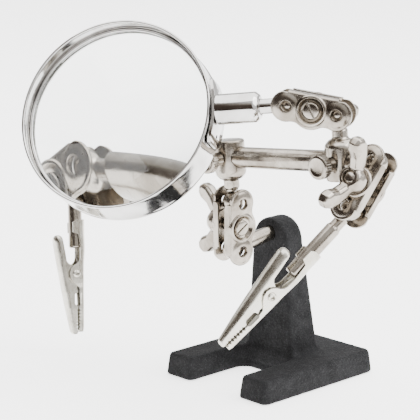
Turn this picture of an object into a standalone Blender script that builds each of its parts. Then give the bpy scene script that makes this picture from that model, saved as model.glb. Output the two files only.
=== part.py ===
"""Helping hands clamp: a cast base, ball-joint arms, a magnifier and two spring clips.

Lengths below are in millimetres and are scaled to metres when each mesh is made.
+Z is up, the crossbar runs close to Y, and the base's two arms point along -X.
"""
import math

import bmesh
import bpy
from mathutils import Matrix, Vector

MM = 0.001
COLLECTION = "helping_hands_clamp"

# base casting
BASE_X0, BASE_X1 = -29.9, 18.9
BASE_HALF_WIDTH = 21.7
BASE_HEIGHT = 6.95
ARM_INNER_Y = 9.9
SLOT_END_X = -6.7
ARM_CORNER, BRIDGE_CORNER, SLOT_CORNER = 2.2, 3.0, 3.5
POST_FRONT_X = -6.15
POST_BACK_X, POST_BACK_TOP_X = 6.05, 1.35
POST_HALF_FOOT, POST_HALF_TOP = 9.6, 7.3
POST_ARCH_Z = 41.65
POST_CORNER = 1.6
FOOT_FLARE, FOOT_FLARE_HEIGHT = 1.3, 2.2
PIN_HOLE_DEPTH = 5.0
PIN_HOLE_Z = 44.3

# rods, balls and the crossbar
BALL_R = 3.2
NECK_R = 1.8
STEM_R = 2.3
NECK_GAP = 0.15
CROSSBAR_R = 3.1
CROSSBAR_HALF = 54.0
CROSSBAR_SHOULDER = 47.3
BAR_HEADING = math.radians(4.0)
BAR_TILT = math.radians(5.7)
COLLAR_AT = 41.8

# bar holder and lens collar: a short upright cylinder, cross-bored for the bar
BLOCK_R = 4.7
BLOCK_TOP, BLOCK_BOTTOM = 5.2, -6.6
BLOCK_BALL_DROP = 13.4
BAR_BORE_R = 3.22
SET_HOLE_R = 1.75

# clamp plates
SEAT_HALF = 7.15
LOBE_R = 4.5
BULGE_R = 5.4
PLATE_INNER, PLATE_OUTER = 3.45, 4.35
EDGE_CHAMFER = 0.3
FLANGE_T, FLANGE_LIP = 0.9, 1.5
SEAT_HOLE_R = 1.6
DOME_R, DOME_TOP = 3.7, 4.85
BOSS_R, BOSS_INNER, RECESS_R, RECESS_FLOOR = 4.6, 3.0, 3.6, 3.7
SCREW_R, SCREW_HOLE_R, SCREW_HEAD_R = 1.75, 1.95, 3.0
SLOT_HALF_WIDTH, SLOT_DEPTH_Y = 0.35, 4.5
EAR_HALF = 1.9

# magnifier
RING_RIM_R, RING_WALL_R, RING_INNER_R, LEDGE_R = 28.5, 28.3, 27.6, 26.7
RING_FRONT, RING_BACK = 3.0, -9.5
LENS_R, LENS_EDGE_T, LENS_SAG, LENS_Z = 27.2, 2.0, 3.0, -3.45
RETAINER_R, RETAINER_WIRE, RETAINER_Z = 27.15, 0.45, -1.75
FERRULE_R, FERRULE_START, FERRULE_END = 4.35, 30.05, 42.6
SADDLE_INNER, SADDLE_OUTER = 28.75, 29.75
SADDLE_BACK, SADDLE_FRONT = -8.2, 1.6
SADDLE_HALF_ANGLE = math.radians(19.0)

# spring clip, measured from its ball centre along the clip (s) and towards the lever (t)
CLIP_SHEET = 0.5
CLIP_PIVOT_S, CLIP_PIVOT_T = 32.6, 0.9
CLIP_PIN_R, CLIP_PIN_HOLE_R, RIVET_HEAD_R, RIVET_HALF = 0.8, 0.95, 1.25, 3.15
TEETH_START, TEETH_END, TOOTH_PITCH = 43.6, 51.0, 1.057
JAW_HALF_START, JAW_HALF_END = 2.05, 1.3
SPRING_R, SPRING_TURNS, SPRING_WIRE_R = 1.28, 3, 0.27
CLIP_ROLL = math.radians(24.0)

# ball centres and directions that place each assembly
PIN_BALL = Vector((-21.7, 0.0, 42.1))
HOLDER_BALL = Vector((-21.7, 0.0, 56.4))
LOWER_CLAMP_TURN = math.radians(-6.0)
LENS_BALL = Vector((-26.43, -26.80, 89.28))
LENS_CENTRE = Vector((-52.16, 16.47, 83.65))
LENS_FRONT = Vector((-0.782, -0.403, 0.477))
LENS_CLAMP_FACE = Vector((-0.843, -0.533, 0.067))
RIGHT_CLIP_BALL = Vector((-24.92, -49.39, 62.90))
RIGHT_CLAMP_FACE = Vector((-0.872, -0.145, 0.458))
RIGHT_CLIP_AXIS = Vector((-0.641, 0.317, -0.699))
LEFT_CLIP_BALL = Vector((-27.57, 66.49, 56.22))
LEFT_CLIP_AXIS = Vector((-0.179, -0.232, -0.956))
CLIP_OUTWARD = Vector((-0.68, -0.70, 0.23))

MATERIALS = {
    "black_casting": ((0.045, 0.045, 0.05, 1.0), 0.75, 0.2),
    "nickel_plate": ((0.72, 0.70, 0.67, 1.0), 0.22, 1.0),
    "polished_chrome": ((0.80, 0.80, 0.81, 1.0), 0.08, 1.0),
    "clip_nickel": ((0.76, 0.74, 0.68, 1.0), 0.25, 1.0),
    "spring_steel": ((0.45, 0.43, 0.40, 1.0), 0.35, 1.0),
    "lens_glass": ((0.93, 0.96, 0.96, 0.3), 0.02, 0.0),
}


def clear_scene():
    for item in list(bpy.data.objects):
        bpy.data.objects.remove(item, do_unlink=True)
    group = bpy.data.collections.new(COLLECTION)
    bpy.context.scene.collection.children.link(group)
    return group


def make_materials():
    made = {}
    for name, (colour, roughness, metallic) in MATERIALS.items():
        mat = bpy.data.materials.new(name)
        mat.use_nodes = True
        shader = mat.node_tree.nodes["Principled BSDF"]
        shader.inputs["Base Color"].default_value = colour
        shader.inputs["Roughness"].default_value = roughness
        shader.inputs["Metallic"].default_value = metallic
        made[name] = mat
    return made


def frame(origin, x_axis, z_axis):
    """Placement matrix in metres from a millimetre origin and two directions."""
    z = z_axis.normalized()
    x = (x_axis - z * x_axis.dot(z)).normalized()
    y = z.cross(x)
    turn = Matrix((x, y, z)).transposed().to_4x4()
    return Matrix.Translation(origin * MM) @ turn


def mesh_from(name, points, faces):
    bm = bmesh.new()
    verts = [bm.verts.new(Vector(p) * MM) for p in points]
    for face in faces:
        bm.faces.new([verts[i] for i in face])
    bmesh.ops.recalc_face_normals(bm, faces=bm.faces)
    mesh = bpy.data.meshes.new(name)
    bm.to_mesh(mesh)
    bm.free()
    return mesh


def loft(name, loops):
    """Closed body through loops that all have the same number of points."""
    count = len(loops[0])
    points = [p for loop in loops for p in loop]
    faces = [list(range(count)), list(range(len(points) - count, len(points)))]
    for row in range(len(loops) - 1):
        for i in range(count):
            a, b = row * count + i, row * count + (i + 1) % count
            faces.append([a, b, b + count, a + count])
    return mesh_from(name, points, faces)


def lathe(name, profile, segments, axis="Z", ridge=0.0):
    """Turned body. A profile that starts and ends on the axis is solid, any other is a ring.

    ridge pulls every second segment in by that much, where the radius is largest.
    """
    solid = profile[0][0] == 0.0 and profile[-1][0] == 0.0
    widest = max(r for r, h in profile)
    points, rows = [], []
    for r, h in profile:
        if r == 0.0:
            rows.append([len(points)] * segments)
            points.append((0.0, 0.0, h))
            continue
        rows.append(list(range(len(points), len(points) + segments)))
        for i in range(segments):
            angle = 2.0 * math.pi * i / segments
            radius = r - ridge if ridge and r > widest - 0.01 and i % 2 else r
            points.append((radius * math.cos(angle), radius * math.sin(angle), h))
    faces = []
    pairs = list(zip(rows, rows[1:]))
    if not solid:
        pairs.append((rows[-1], rows[0]))
    for low, high in pairs:
        for i in range(segments):
            j = (i + 1) % segments
            face = []
            for v in (low[i], low[j], high[j], high[i]):
                if v not in face:
                    face.append(v)
            faces.append(face)
    if axis == "X":
        points = [(z, x, y) for x, y, z in points]
    elif axis == "Y":
        points = [(y, z, x) for x, y, z in points]
    return mesh_from(name, points, faces)


def offset_outline(points, amount):
    """Outline moved inwards by amount; points run anticlockwise."""
    moved = []
    count = len(points)
    for i in range(count):
        before, here, after = points[i - 1], points[i], points[(i + 1) % count]
        first = Vector((here[0] - before[0], here[1] - before[1])).normalized()
        second = Vector((after[0] - here[0], after[1] - here[1])).normalized()
        normal = Vector((-(first.y + second.y), first.x + second.x))
        normal = normal / max(normal.length_squared / 2.0, 0.4)
        moved.append((here[0] + normal.x * amount, here[1] + normal.y * amount))
    return moved


def rounded_outline(corners, steps=4):
    """Polygon with each corner replaced by an arc; corners are (x, y, radius)."""
    outline = []
    count = len(corners)
    for i in range(count):
        before = Vector(corners[i - 1][:2])
        here = Vector(corners[i][:2])
        after = Vector(corners[(i + 1) % count][:2])
        radius = corners[i][2]
        first, second = (before - here).normalized(), (after - here).normalized()
        centre = here + (first + second) * radius
        start = (first - (first + second)) * radius
        end = (second - (first + second)) * radius
        for k in range(steps + 1):
            part = start.lerp(end, k / steps).normalized() * radius
            outline.append(tuple(centre + part))
    return outline


def add_object(group, name, mesh, place, material, smooth=35.0):
    item = bpy.data.objects.new(name, mesh)
    group.objects.link(item)
    item.matrix_world = place
    mesh.materials.clear()
    mesh.materials.append(material)
    mesh.set_sharp_from_angle(angle=math.radians(smooth))
    return item


def with_modifiers(mesh, setup):
    """Copy of the mesh after the modifiers that setup puts on it."""
    item = bpy.data.objects.new("work", mesh)
    bpy.context.scene.collection.objects.link(item)
    helpers = setup(item)
    graph = bpy.context.evaluated_depsgraph_get()
    result = bpy.data.meshes.new_from_object(item.evaluated_get(graph))
    for helper in helpers:
        bpy.data.objects.remove(helper, do_unlink=True)
    bpy.data.objects.remove(item, do_unlink=True)
    return result


def combine(mesh, others, operation):
    """EXACT Boolean of the mesh with each of the others in turn."""
    def setup(item):
        helpers = []
        for number, other in enumerate(others):
            helper = bpy.data.objects.new("helper_%d" % number, other)
            bpy.context.scene.collection.objects.link(helper)
            modifier = item.modifiers.new("step_%d" % number, "BOOLEAN")
            modifier.operation = operation
            modifier.solver = "EXACT"
            modifier.object = helper
            helpers.append(helper)
        return helpers
    return with_modifiers(mesh, setup)


def moved(mesh, matrix):
    copy = mesh.copy()
    copy.transform(matrix)
    return copy


def shift(x=0.0, y=0.0, z=0.0):
    return Matrix.Translation(Vector((x, y, z)) * MM)


def ball_mesh():
    steps = 8
    profile = [(BALL_R * math.sin(math.pi * i / steps), -BALL_R * math.cos(math.pi * i / steps))
               for i in range(steps + 1)]
    profile[0], profile[-1] = (0.0, -BALL_R), (0.0, BALL_R)
    return lathe("ball", profile, 14)


def base_mesh():
    corners = [
        (BASE_X0, -BASE_HALF_WIDTH, ARM_CORNER), (BASE_X1, -BASE_HALF_WIDTH, BRIDGE_CORNER),
        (BASE_X1, BASE_HALF_WIDTH, BRIDGE_CORNER), (BASE_X0, BASE_HALF_WIDTH, ARM_CORNER),
        (BASE_X0, ARM_INNER_Y, ARM_CORNER), (SLOT_END_X, ARM_INNER_Y, SLOT_CORNER),
        (SLOT_END_X, -ARM_INNER_Y, SLOT_CORNER), (BASE_X0, -ARM_INNER_Y, ARM_CORNER),
    ]
    outline = rounded_outline(corners)
    loops = []
    for z, inset in ((0.0, 0.3), (0.4, 0.0), (5.7, 0.75), (6.5, 1.1), (BASE_HEIGHT, 1.75)):
        loops.append([(x, y, z) for x, y in offset_outline(outline, inset)])
    return loft("base_plate", loops)


def post_section(z):
    """Front x, back x and half width of the post at height z, with a flare at its foot."""
    part = max(0.0, min(1.0, (z - BASE_HEIGHT) / (POST_ARCH_Z - BASE_HEIGHT)))
    flare = FOOT_FLARE * max(0.0, 1.0 - max(0.0, z - BASE_HEIGHT) / FOOT_FLARE_HEIGHT) ** 2
    back = POST_BACK_X + (POST_BACK_TOP_X - POST_BACK_X) * part
    half = POST_HALF_FOOT + (POST_HALF_TOP - POST_HALF_FOOT) * part
    return POST_FRONT_X - 0.5 * flare, back + flare, half + flare


def post_mesh():
    loops = []
    for z in (3.0, 6.4, 7.2, 8.0, 9.2, 24.0, POST_ARCH_Z):
        front, back, half = post_section(z)
        loops.append(post_loop(front, back, half, z))
    front, back, half = post_section(POST_ARCH_Z)
    for degrees in (14, 28, 42, 55, 66, 75, 82):
        angle = math.radians(degrees)
        pinch = 1.5 * (1.0 - math.sqrt(max(0.0, 1.0 - max(0.0, (degrees - 50) / 36.0) ** 2)))
        loops.append(post_loop(front + pinch, back - pinch, half * math.cos(angle),
                               POST_ARCH_Z + half * math.sin(angle)))
    return loft("post", loops)


def post_loop(front, back, half, z):
    radius = min(POST_CORNER, half * 0.8, (back - front) * 0.45)
    outline = rounded_outline([(front, -half, radius), (back, -half, radius),
                               (back, half, radius), (front, half, radius)], steps=3)
    return [(x, y, z) for x, y in outline]


def pin_frame():
    """Post pin: local X runs from the pin's ball into the post."""
    along = Vector((POST_FRONT_X, 0.0, PIN_HOLE_Z)) - PIN_BALL
    return frame(PIN_BALL, Vector((0, 0, 1)), along), along.length


def build_stand(group, mats):
    place, reach = pin_frame()
    hole = lathe("pin_hole", [(0.0, reach - 3.0), (STEM_R + 0.1, reach - 3.0),
                              (STEM_R + 0.1, reach + PIN_HOLE_DEPTH),
                              (0.0, reach + PIN_HOLE_DEPTH + 0.6)], 20)
    hole.transform(place)
    casting = combine(base_mesh(), [post_mesh()], "UNION")
    casting = combine(casting, [hole], "DIFFERENCE")
    add_object(group, "base_casting", casting, Matrix(), mats["black_casting"], 30.0)
    start = BALL_R + NECK_GAP
    pin = lathe("post_pin", [(0.0, start), (NECK_R, start), (NECK_R, start + 0.9),
                             (STEM_R, start + 1.6), (STEM_R, reach + PIN_HOLE_DEPTH - 0.5),
                             (0.0, reach + PIN_HOLE_DEPTH - 0.4)], 20)
    add_object(group, "post_pin", pin, place, mats["nickel_plate"])


def plate_outline():
    """Plate outline in local X and Z: a straight folded side, two lobes and a middle bulge."""
    points = []
    for degrees in (-32, -11, 11, 32):
        angle = math.radians(degrees)
        points.append((BULGE_R * math.cos(angle), BULGE_R * math.sin(angle)))
    for degrees in (-28, 0, 26, 52, 78, 104, 130, 155, 180):
        angle = math.radians(degrees)
        points.append((LOBE_R * math.cos(angle), SEAT_HALF + LOBE_R * math.sin(angle)))
    return points + [(x, -z) for x, z in reversed(points[4:])]


def flange_mesh():
    """Folded edge of a plate, with a rounded outer bend."""
    side, bend = -LOBE_R, 0.9
    section = [(side, FLANGE_LIP), (side, PLATE_OUTER - bend)]
    for degrees in (135, 90):
        angle = math.radians(degrees)
        section.append((side + bend + bend * math.cos(angle),
                        PLATE_OUTER - bend + bend * math.sin(angle)))
    section += [(side + bend + 0.4, PLATE_OUTER), (side + bend + 0.4, PLATE_INNER),
                (side + FLANGE_T, PLATE_INNER), (side + FLANGE_T, FLANGE_LIP)]
    loops = []
    for z, inset in ((-SEAT_HALF, 0.8), (-SEAT_HALF + 1.0, 0.0),
                     (SEAT_HALF - 1.0, 0.0), (SEAT_HALF, 0.8)):
        loops.append([(x, max(y, FLANGE_LIP + inset), z) for x, y in section])
    return loft("flange", loops)


def plate_mesh():
    """Nut-side plate: faces +Y, folded along -X."""
    outline = plate_outline()
    rim = [max(x, -LOBE_R + 0.5) for x, z in outline]
    outline = [(x, z) for x, (_, z) in zip(rim, outline)]
    levels = ((PLATE_INNER, 0.0), (PLATE_OUTER - EDGE_CHAMFER, 0.0), (PLATE_OUTER, EDGE_CHAMFER))
    loops = [[(x, y, z) for x, z in offset_outline(outline, inset)] for y, inset in levels]
    plate = loft("plate", loops)
    additions = [flange_mesh()]
    dome = lathe("dome", [(0.0, PLATE_INNER + 0.3), (DOME_R, PLATE_INNER + 0.3),
                          (DOME_R, PLATE_OUTER + 0.05), (2.4, DOME_TOP), (0.0, DOME_TOP)], 12, "Y")
    additions += [moved(dome, shift(z=SEAT_HALF)), moved(dome, shift(z=-SEAT_HALF))]
    additions.append(lathe("boss", [(0.0, BOSS_INNER), (BOSS_R, BOSS_INNER),
                                    (BOSS_R - 0.15, DOME_TOP), (0.0, DOME_TOP)], 14, "Y"))
    seat = lathe("seat", [(0.0, 1.0), (SEAT_HOLE_R, 1.0), (SEAT_HOLE_R, 7.0), (0.0, 7.0)], 10, "Y")
    recess = lathe("recess", [(0.0, 1.0), (SCREW_HOLE_R, 1.0), (SCREW_HOLE_R, RECESS_FLOOR),
                              (RECESS_R, RECESS_FLOOR), (RECESS_R + 0.8, 7.0), (0.0, 7.0)], 12, "Y")
    cuts = [moved(seat, shift(z=SEAT_HALF)), moved(seat, shift(z=-SEAT_HALF)), recess]
    return combine(combine(plate, additions, "UNION"), cuts, "DIFFERENCE")


def mirrored_y(mesh):
    copy = moved(mesh, Matrix.Scale(-1.0, 4, Vector((0, 1, 0))))
    copy.flip_normals()
    return copy


def screw_mesh():
    """Clamp screw: pan head in the -Y recess, threaded end towards +Y."""
    body = lathe("screw", [(0.0, -5.05), (1.6, -4.95), (2.6, -4.6), (SCREW_HEAD_R, -4.1),
                           (SCREW_HEAD_R, -3.8),
                           (SCREW_R, -3.8), (SCREW_R, 8.2), (SCREW_R - 0.5, 8.7), (0.0, 8.7)],
                 14, "Y")
    width, depth = SLOT_HALF_WIDTH, SLOT_DEPTH_Y
    slot = loft("slot", [[(-width, -6.0, z), (width, -6.0, z), (width, -depth, z), (-width, -depth, z)]
                         for z in (-4.0, 4.0)])
    return combine(body, [slot], "DIFFERENCE")


def wing_nut_mesh():
    """Wing nut on +Y with its ears along Z."""
    hub = lathe("hub", [(SCREW_HOLE_R, 3.85), (2.9, 3.85), (2.95, 5.0), (3.9, 5.2), (3.9, 6.6),
                        (3.2, 8.8), (2.8, 9.1), (SCREW_HOLE_R, 9.1)], 14, "Y")
    ear = [(2.5, 5.4), (5.4, 6.2), (8.3, 8.3), (10.4, 10.7), (10.9, 13.0), (9.7, 15.0),
           (7.5, 15.3), (5.8, 13.9), (4.6, 11.2), (2.5, 8.7)]
    loops = [[(x, h, r) for r, h in offset_outline(ear, inset)]
             for x, inset in ((-EAR_HALF, 0.9), (0.8 - EAR_HALF, 0.0), (EAR_HALF - 0.8, 0.0),
                              (EAR_HALF, 0.9))]
    wing = loft("ear", loops)
    other = moved(wing, Matrix.Rotation(math.pi, 4, "Y"))
    return combine(hub, [wing, other], "UNION")


def build_clamp(group, mats, prefix, place, shared):
    """Two plates, their screw and wing nut, all made in the clamp's own frame."""
    pieces = (("screw_plate", shared["screw_plate"]), ("nut_plate", shared["nut_plate"]),
              ("screw", shared["screw"]), ("wing_nut", shared["wing_nut"]))
    for part, mesh in pieces:
        add_object(group, prefix + "_" + part, mesh, place, mats["nickel_plate"])


def block_mesh():
    """Upright block with a cross bore for the bar; its stem points down to the ball."""
    stem_end = -BLOCK_BALL_DROP + BALL_R + NECK_GAP
    body = lathe("block", [(0.0, BLOCK_TOP), (3.6, BLOCK_TOP), (4.35, BLOCK_TOP - 0.3),
                           (BLOCK_R, BLOCK_TOP - 1.0), (BLOCK_R, BLOCK_BOTTOM + 1.7),
                           (3.3, BLOCK_BOTTOM + 0.2), (STEM_R + 0.3, BLOCK_BOTTOM),
                           (STEM_R, BLOCK_BOTTOM - 0.5), (STEM_R, stem_end + 1.0),
                           (NECK_R, stem_end + 0.4), (NECK_R, stem_end), (0.0, stem_end)], 20)
    bore = lathe("bore", [(0.0, -9.0), (BAR_BORE_R, -9.0), (BAR_BORE_R, 9.0), (0.0, 9.0)], 24, "Y")
    hole = lathe("hole", [(0.0, -9.0), (SET_HOLE_R, -9.0), (SET_HOLE_R, -1.0), (0.0, -1.0)], 12, "X")
    return combine(body, [bore, hole], "DIFFERENCE")


def thumbscrew_mesh():
    """Knurled screw along -X, its tip just short of the bar."""
    return lathe("thumbscrew", [(0.0, -11.2), (2.6, -11.1), (3.5, -10.6), (3.5, -8.5),
                                (3.1, -8.1), (2.1, -7.9), (2.1, -4.95), (1.6, -4.85),
                                (1.6, -3.35), (0.0, -3.3)], 24, "X", ridge=0.22)


def crossbar_mesh():
    end = CROSSBAR_HALF - BALL_R - NECK_GAP
    half = [(CROSSBAR_R, CROSSBAR_SHOULDER), (NECK_R, CROSSBAR_SHOULDER + 0.9),
            (NECK_R, end), (0.0, end)]
    other = [(r, -h) for r, h in reversed(half)]
    return lathe("crossbar", other + half, 24, "Y")


def bar_frame():
    turn = Matrix.Rotation(BAR_HEADING, 4, "Z") @ Matrix.Rotation(-BAR_TILT, 4, "X")
    centre = HOLDER_BALL + (turn @ Vector((0, 0, 1))) * BLOCK_BALL_DROP
    return Matrix.Translation(centre * MM) @ turn


def build_bar(group, mats, balls):
    """Holder, crossbar, collar and every ball. Local -Y points to the bar's right end."""
    bar = bar_frame()
    block, thumbscrew = block_mesh(), thumbscrew_mesh()
    flip = Matrix.Rotation(math.pi, 4, "X")
    collar = bar @ shift(y=-COLLAR_AT)
    nickel = mats["nickel_plate"]
    add_object(group, "bar_holder", block, bar, nickel)
    add_object(group, "holder_thumbscrew", thumbscrew, bar, nickel)
    add_object(group, "crossbar", crossbar_mesh(), bar, nickel)
    add_object(group, "lens_collar", block.copy(), collar @ flip, nickel)
    add_object(group, "collar_thumbscrew", thumbscrew.copy(), collar, nickel)
    spots = {
        "pin_ball": Matrix.Translation(PIN_BALL * MM),
        "holder_ball": bar @ shift(z=-BLOCK_BALL_DROP),
        "right_bar_ball": bar @ shift(y=-CROSSBAR_HALF),
        "left_bar_ball": bar @ shift(y=CROSSBAR_HALF),
        "collar_ball": collar @ shift(z=BLOCK_BALL_DROP),
        "magnifier_ball": Matrix.Translation(LENS_BALL * MM),
        "right_clip_ball": Matrix.Translation(RIGHT_CLIP_BALL * MM),
        "left_clip_ball": Matrix.Translation(LEFT_CLIP_BALL * MM),
    }
    for name, place in spots.items():
        add_object(group, name, balls, place, nickel, 60.0)
    return bar, collar


def lens_mesh():
    """Biconvex lens about local Z."""
    steps = 3
    curve = (LENS_R ** 2 + LENS_SAG ** 2) / (2.0 * LENS_SAG)
    half = LENS_EDGE_T / 2.0
    front = []
    for i in range(steps + 1):
        r = LENS_R * i / steps
        front.append((r, half + math.sqrt(curve ** 2 - r ** 2) - (curve - LENS_SAG)))
    back = [(r, -h) for r, h in reversed(front)]
    return lathe("lens", front + back, 40)


def ring_mesh():
    """Deep sheet-metal ring with rolled rims and an inner ledge behind the lens."""
    ledge = LENS_Z - LENS_EDGE_T / 2.0 - 0.25
    middle = (RING_RIM_R + RING_INNER_R) / 2.0
    profile = [
        (middle, RING_FRONT), (RING_RIM_R, RING_FRONT - 0.4), (RING_WALL_R, RING_FRONT - 1.5),
        (RING_WALL_R, RING_BACK + 1.5), (RING_RIM_R, RING_BACK + 0.4), (middle, RING_BACK),
        (RING_INNER_R, RING_BACK + 0.4), (RING_INNER_R, ledge - 0.9), (LEDGE_R, ledge - 0.5),
        (LEDGE_R, ledge), (RING_INNER_R + 0.05, ledge), (RING_INNER_R + 0.05, RING_FRONT - 0.4),
    ]
    return lathe("ring", profile, 48)


def saddle_mesh():
    """Curved plate that joins the ring to the ferrule."""
    loops = []
    steps = 10
    for i in range(steps + 1):
        angle = SADDLE_HALF_ANGLE * (2.0 * i / steps - 1.0)
        c, s = math.cos(angle), math.sin(angle)
        trim = 1.2 * abs(2.0 * i / steps - 1.0) ** 6
        loops.append([(SADDLE_INNER * c, SADDLE_INNER * s, SADDLE_BACK + trim),
                      (SADDLE_OUTER * c, SADDLE_OUTER * s, SADDLE_BACK + trim),
                      (SADDLE_OUTER * c, SADDLE_OUTER * s, SADDLE_FRONT - trim),
                      (SADDLE_INNER * c, SADDLE_INNER * s, SADDLE_FRONT - trim)])
    return loft("saddle", loops)


def build_magnifier(group, mats):
    """Ring, lens and handle. Local Z is the lens axis, local X runs to the clamp."""
    reach = (LENS_BALL - LENS_CENTRE).length
    along = (LENS_BALL - LENS_CENTRE).normalized()
    place = frame(LENS_CENTRE, along, LENS_FRONT - along * LENS_FRONT.dot(along))
    chrome = mats["polished_chrome"]
    add_object(group, "lens_ring", ring_mesh(), place, chrome)
    add_object(group, "lens", lens_mesh(), place @ shift(z=LENS_Z), mats["lens_glass"], 25.0)
    wire = [(RETAINER_R + RETAINER_WIRE * math.cos(math.pi * i / 2.0),
             RETAINER_WIRE * math.sin(math.pi * i / 2.0)) for i in range(4)]
    add_object(group, "lens_retainer", lathe("retainer", wire, 48), place @ shift(z=RETAINER_Z),
               chrome, 95.0)
    add_object(group, "ring_saddle", saddle_mesh(), place, chrome)
    bore = FERRULE_END - 6.5
    ferrule = lathe("ferrule", [(0.0, FERRULE_START), (FERRULE_R, FERRULE_START),
                                (FERRULE_R, FERRULE_END - 1.3), (FERRULE_R - 0.9, FERRULE_END - 0.2),
                                (FERRULE_R - 1.4, FERRULE_END), (STEM_R, FERRULE_END),
                                (STEM_R, bore), (0.0, bore)], 28, "X")
    add_object(group, "ferrule", ferrule, place, chrome)
    end = reach - BALL_R - NECK_GAP
    neck = lathe("neck", [(0.0, bore + 0.2), (STEM_R - 0.15, bore + 0.2), (STEM_R - 0.15, end - 1.2),
                          (NECK_R, end - 0.7), (NECK_R, end), (0.0, end)], 20, "X")
    add_object(group, "magnifier_neck", neck, place, chrome)


def channel(name, stations, upward):
    """Folded sheet channel along local X.

    Each station is (s, half width, closed side t, open side t, corner radius).
    """
    loops = []
    for s, half, closed, opened, corner in stations:
        sign = 1.0 if upward else -1.0
        sheet = CLIP_SHEET
        outer, inner = [], []
        for degrees in (0, 45, 90):
            angle = math.radians(degrees)
            outer.append((half - corner + corner * math.cos(angle),
                          closed + sign * corner * (1.0 - math.sin(angle))))
            tight = max(corner - sheet, 0.05)
            inner.append((half - sheet - tight + tight * math.cos(angle),
                          closed + sign * (sheet + tight * (1.0 - math.sin(angle)))))
        right = [(half, opened)] + outer
        left = [(-c, t) for c, t in reversed(right)]
        inside = [(half - sheet, opened)] + inner
        inside_left = [(-c, t) for c, t in inside]
        loop = right + left + inside_left + list(reversed(inside))
        loops.append([(s, t, c) for c, t in loop])
    return loft(name, loops)


def toothed(low, high):
    """Distance, half width and edge height along the toothed part of a jaw."""
    count = int(round((TEETH_END - TEETH_START) / TOOTH_PITCH))
    rows = []
    for i in range(count + 1):
        part = TOOTH_PITCH * i / (TEETH_END - TEETH_START)
        half = JAW_HALF_START + (JAW_HALF_END - JAW_HALF_START) * part
        rows.append((TEETH_START + TOOTH_PITCH * i, half, high if i % 2 else low))
    return rows


def pivot_hole():
    hole = lathe("pivot_hole", [(0.0, -6.0), (CLIP_PIN_HOLE_R, -6.0), (CLIP_PIN_HOLE_R, 6.0),
                                (0.0, 6.0)], 16)
    hole.transform(shift(CLIP_PIVOT_S, CLIP_PIVOT_T))
    return hole


def clip_body_mesh():
    """Fixed jaw, pivot ears and the cradle that grips the stem."""
    stations = [
        (15.4, 2.85, -2.75, 0.4, 2.3), (16.2, 2.85, -2.75, 1.7, 2.3), (19.4, 2.85, -2.75, 1.7, 2.3),
        (20.0, 2.85, -2.75, 0.0, 2.3), (24.6, 2.85, -2.70, -0.6, 2.0), (27.5, 2.9, -2.25, -0.5, 1.4),
        (29.2, 2.9, -1.95, 0.2, 1.0), (30.0, 2.9, -1.9, 1.7, 0.9), (31.2, 2.9, -1.85, 2.8, 0.9),
        (32.6, 2.9, -1.8, 3.2, 0.9), (34.2, 2.9, -1.8, 2.8, 0.9), (35.6, 2.8, -1.8, 1.7, 0.9),
        (37.0, 2.6, -1.8, 0.0, 0.9), (38.5, 2.5, -1.8, -0.2, 0.8), (38.9, 2.46, -1.8, -0.7, 0.8),
        (42.4, 2.16, -1.8, -0.7, 0.8),
    ]
    for s, half, top in toothed(-0.45, 0.0):
        stations.append((s, half, -1.8 + 0.25 * max(0.0, s - 50.0), top, 0.7))
    body = channel("clip_body", stations, upward=True)
    end = loft("tip", [[(51.0, -1.45, c), (51.0, -0.3, c), (50.4, -0.3, c), (50.4, -1.5, c)]
                       for c in (-0.8, 0.8)])
    return combine(combine(body, [end], "UNION"), [pivot_hole()], "DIFFERENCE")


def clip_lever_mesh():
    """Moving jaw and thumb lever: a rounded channel over the body."""
    stations = [
        (20.3, 1.2, 6.6, 5.8, 0.9), (20.9, 2.2, 7.3, 5.2, 1.6), (22.0, 2.7, 7.5, 4.9, 2.1),
        (26.0, 2.7, 6.95, 4.2, 2.1), (29.0, 2.3, 6.5, 3.7, 1.8), (29.9, 2.15, 6.3, 2.4, 1.7),
        (30.6, 2.15, 6.2, 0.2, 1.7), (31.8, 2.15, 6.0, -0.7, 1.7), (33.4, 2.15, 5.75, -0.7, 1.7),
        (34.8, 2.15, 5.5, 0.1, 1.7), (37.4, 2.15, 5.1, 0.6, 1.6), (38.5, 2.15, 4.9, 0.2, 1.6),
        (38.9, 2.15, 4.85, 1.4, 1.6), (42.4, 2.12, 4.25, 1.4, 1.5),
    ]
    for s, half, low in toothed(0.25, 0.7):
        roof = 4.0 - 1.5 * (s - TEETH_START) / (TEETH_END - TEETH_START)
        stations.append((s, half, roof, low, min(1.4, half - 0.05)))
    body = channel("clip_lever", stations, upward=False)
    nose = loft("nose", [[(50.4, 0.25, c), (51.6, 0.3, c), (51.75, 1.0, c), (51.4, 1.9, c),
                          (50.4, 2.3, c)] for c in (-0.95, 0.95)])
    return combine(combine(body, [nose], "UNION"), [pivot_hole()], "DIFFERENCE")


def clip_stem_mesh():
    start = BALL_R + NECK_GAP
    return lathe("clip_stem", [(0.0, start), (NECK_R, start), (NECK_R, 6.6), (2.15, 7.4),
                               (2.15, 24.0), (1.7, 24.4), (0.0, 24.4)], 18, "X")


def clip_pivot_mesh():
    """Rivet with a low domed head at each end."""
    end = [(CLIP_PIN_R, RIVET_HALF - 0.15), (RIVET_HEAD_R, RIVET_HALF - 0.15),
           (RIVET_HEAD_R, RIVET_HALF), (0.8, RIVET_HALF + 0.3), (0.0, RIVET_HALF + 0.35)]
    return lathe("clip_pivot", [(r, -h) for r, h in reversed(end)] + end, 14)


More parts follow.
